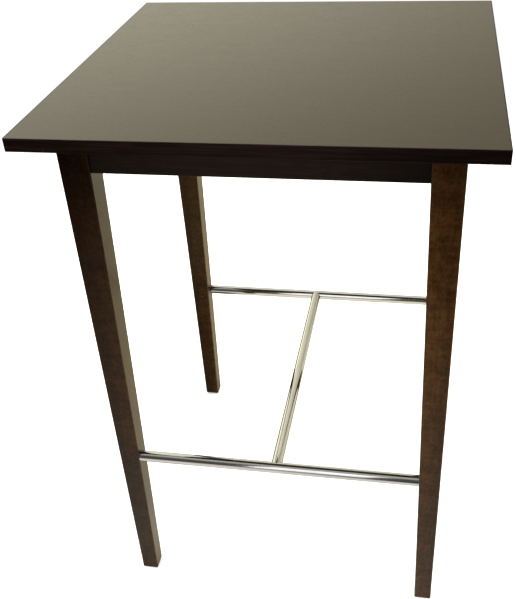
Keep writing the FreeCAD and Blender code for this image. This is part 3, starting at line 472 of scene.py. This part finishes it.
def card_material(name):
    """What the gloss sees low down: a bright warm sweep under and behind the table that falls away in front of it."""
    m = bpy.data.materials.new(name)
    m.use_nodes = True
    t = Tree(m.node_tree)
    out = t.node("ShaderNodeOutputMaterial")
    x, y, _ = place_xyz(t)
    near = t.ramp(t.remap(y, -1.0, 2.5), ((-0.40, (0.97, 0.94, 0.82)), (-0.20, (1.04, 0.97, 0.75)), (0.00, (1.10, 0.98, 0.70)),
                                          (0.30, (1.07, 0.91, 0.58)), (0.70, (1.07, 0.91, 0.55)), (1.55, (1.07, 0.94, 0.56)),
                                          (1.85, (1.33, 1.36, 1.20)), (2.20, (1.42, 1.48, 1.36))), -1.0, 2.5)
    foot = t.math("MULTIPLY", t.remap(x, -0.19, -0.24), t.math("MULTIPLY", t.remap(y, -0.08, -0.20), t.remap(y, -0.312, -0.292)))
    near = t.mix(foot, near, rgba((1.38, 1.20, 0.85)))
    # dimmer to the sides and well in front of the table, but for a soft pool of light straight ahead
    side = t.math("MULTIPLY", t.remap(y, -0.38, -0.22, 1.0, 0.0), t.remap(x, -0.36, -0.66, 1.0, 0.55, "SMOOTHSTEP"))
    side = t.math("MAXIMUM", side, t.remap(x, -0.325, -0.258, 0.06, 1.0))
    right = t.math("MAXIMUM", t.remap(x, 0.44, 0.64, 1.0, 0.25, "SMOOTHSTEP"), t.remap(y, 0.5, 1.2, 0.0, 0.95))
    side = t.math("MULTIPLY", side, right)
    near = t.mix(side, rgba((0.05, 0.045, 0.035)), near)
    middle = t.remap(t.math("ABSOLUTE", t.math("ADD", x, 0.48)), 0.05, 0.74, 0.78, 0.030, "SMOOTHSTEP")
    away = t.node("ShaderNodeCombineXYZ")
    for i, c in enumerate((1.0, 0.78, 0.62)):
        t.put(away.inputs[i], t.math("MULTIPLY", middle, c))
    col = t.mix(t.remap(y, -0.35, -1.80, 0.0, 1.0, "SMOOTHSTEP"), near, away.outputs[0])
    glow = t.node("ShaderNodeEmission")
    t.put(glow.inputs["Color"], col)
    glow.inputs["Strength"].default_value = 1.0
    t.put(out.inputs["Surface"], glow.outputs[0])
    m.cycles.emission_sampling = "NONE"
    return m


# a pale floor and backdrop for the picture; under the floor, out of the picture, a bounce floor with a black flag that
# keeps light off the front faces, and a reflector that is what the gloss of the wood and the chrome sees
floor = plane("floor", -30.0, 30.0, -30.0, 30.0, 0.0, floor_material())
only(floor, camera=True)
only(dome("backdrop", 28.0, backdrop_material()), camera=True)
bounce = plane("bounce_floor", -30.0, 30.0, -30.0, 30.0, -0.002, bounce_material())
only(bounce, diffuse=True, transmission=True, shadow=True)
card = plane("reflector_card", -20.0, 20.0, -20.0, 20.0, -0.001, card_material("reflector"))
only(card, glossy=True)


def lights_world():
    w = bpy.data.worlds.new("studio")
    SCENE.world = w
    w.use_nodes = True
    t = Tree(w.node_tree)
    out = t.node("ShaderNodeOutputWorld")
    bg = t.node("ShaderNodeBackground")
    d = t.node("ShaderNodeTexCoord").outputs["Generated"]
    s = t.node("ShaderNodeSeparateXYZ")
    t.put(s.inputs[0], d)
    x, y, z = s.outputs

    def lobe(az, el, inner, outer):
        a, e = math.radians(az), math.radians(el)
        c = (math.sin(a) * math.cos(e), math.cos(a) * math.cos(e), math.sin(e))
        return t.remap(t.vec("DOT_PRODUCT", d, c), math.cos(math.radians(outer)), math.cos(math.radians(inner)), 0.0, 1.0, "SMOOTHSTEP")

    def tint(k, colour, add=None):
        n = t.node("ShaderNodeVectorMath", operation="MULTIPLY_ADD")
        t.put(n.inputs[0], colour)
        t.put(n.inputs[1], k)
        t.put(n.inputs[2], add if add is not None else (0.0, 0.0, 0.0))
        return n.outputs[0]

    # the back wall is brightest low down on the left and fades upwards; the side of the room behind the viewer is dim
    fade = t.remap(z, math.sin(math.radians(15.0)), math.sin(math.radians(28.0)), 1.0, 0.46, "SMOOTHSTEP")
    back = t.remap(y, -0.15, 0.45, 0.0, 1.0, "SMOOTHSTEP")
    wall = t.math("MULTIPLY", back, 0.43)
    wall = t.math("MULTIPLY_ADD", lobe(-52.0, 6.0, 12.0, 68.0), 1.0, wall)
    wall = t.math("MULTIPLY", wall, fade)
    total = tint(wall, (1.0, 0.975, 0.765))
    upper = t.math("MULTIPLY", back, t.math("MULTIPLY", t.remap(z, 0.46, 0.60), t.remap(z, 0.78, 0.92, 1.0, 0.0)))
    total = tint(upper, (0.33, 0.29, 0.24), total)
    total = tint(t.math("MULTIPLY", back, t.remap(z, 0.20, 0.42, 0.48, 1.0)), (0.118, 0.114, 0.058), total)
    total = tint(lobe(70.0, 10.0, 10.0, 60.0), (0.16, 0.15, 0.12), total)
    total = tint(t.remap(z, 0.60, 0.97, 0.0, 1.0, "SMOOTHSTEP"), (0.45, 0.435, 0.37), total)
    n = t.node("ShaderNodeVectorMath", operation="ADD")
    t.put(n.inputs[0], total)
    t.put(n.inputs[1], (0.085, 0.083, 0.069))
    t.put(bg.inputs["Color"], n.outputs[0])
    t.put(out.inputs["Surface"], bg.outputs[0])


lights_world()


def softbox(name, place, aim, width, height, power, colour=(1.0, 0.95, 0.86), spread_deg=180.0):
    lamp = bpy.data.lights.new(name, "AREA")
    lamp.shape = "RECTANGLE"
    lamp.size, lamp.size_y = width, height
    lamp.energy = power
    lamp.color = colour
    lamp.spread = math.radians(spread_deg)
    o = bpy.data.objects.new(name, lamp)
    SCENE.collection.objects.link(o)
    o.location = place
    o.rotation_mode = "QUATERNION"
    o.rotation_quaternion = (Vector(aim) - Vector(place)).to_track_quat("-Z", "Y")
    o.visible_camera = False
    return o


overhead = softbox("overhead", (-0.3, 0.5, 3.8), (-0.3, 0.5, 0.0), 5.0, 5.0, 430.0, (1.0, 0.975, 0.94))
overhead.visible_glossy = False
front = softbox("front_right", (0.78, -0.80, 0.96), (0.30, -0.32, 0.46), 0.30, 0.30, 2.0, (1.0, 0.92, 0.78), 96.0)
front.visible_glossy = False
softbox("window_behind", (-0.58, -5.6, 3.16), (0.0, -0.3, 0.34), 1.1, 5.0, 24.0, (1.0, 0.97, 0.92))


# ---------------------------------------------------------------- camera
F_PX, CX, CY, WIDE, HIGH = 838.202, 271.985, 302.902, 516.0, 599.0
RIGHT = Vector((0.983630461, 0.172610915, -0.051735752))
DOWN = Vector((0.055579287, -0.563721780, -0.824092651))
AHEAD = Vector((-0.171411957, 0.807727198, -0.564087506))
cam = bpy.data.cameras.new("camera")
cam.sensor_fit = "AUTO"
cam.sensor_width = 36.0
cam.lens = F_PX / HIGH * 36.0
cam.shift_x = (WIDE / 2 - CX) / HIGH
cam.shift_y = (CY - HIGH / 2) / HIGH
cam.clip_start, cam.clip_end = 0.05, 100.0
cam.dof.use_dof = False
camera = bpy.data.objects.new("camera", cam)
SCENE.collection.objects.link(camera)
turn = Matrix((RIGHT, -DOWN, -AHEAD)).transposed().to_4x4()
camera.matrix_world = Matrix.Translation((0.259017, -1.468654, 1.551085)) @ turn
SCENE.camera = camera

SCENE.view_settings.view_transform = "Standard"
SCENE.view_settings.look = "None"
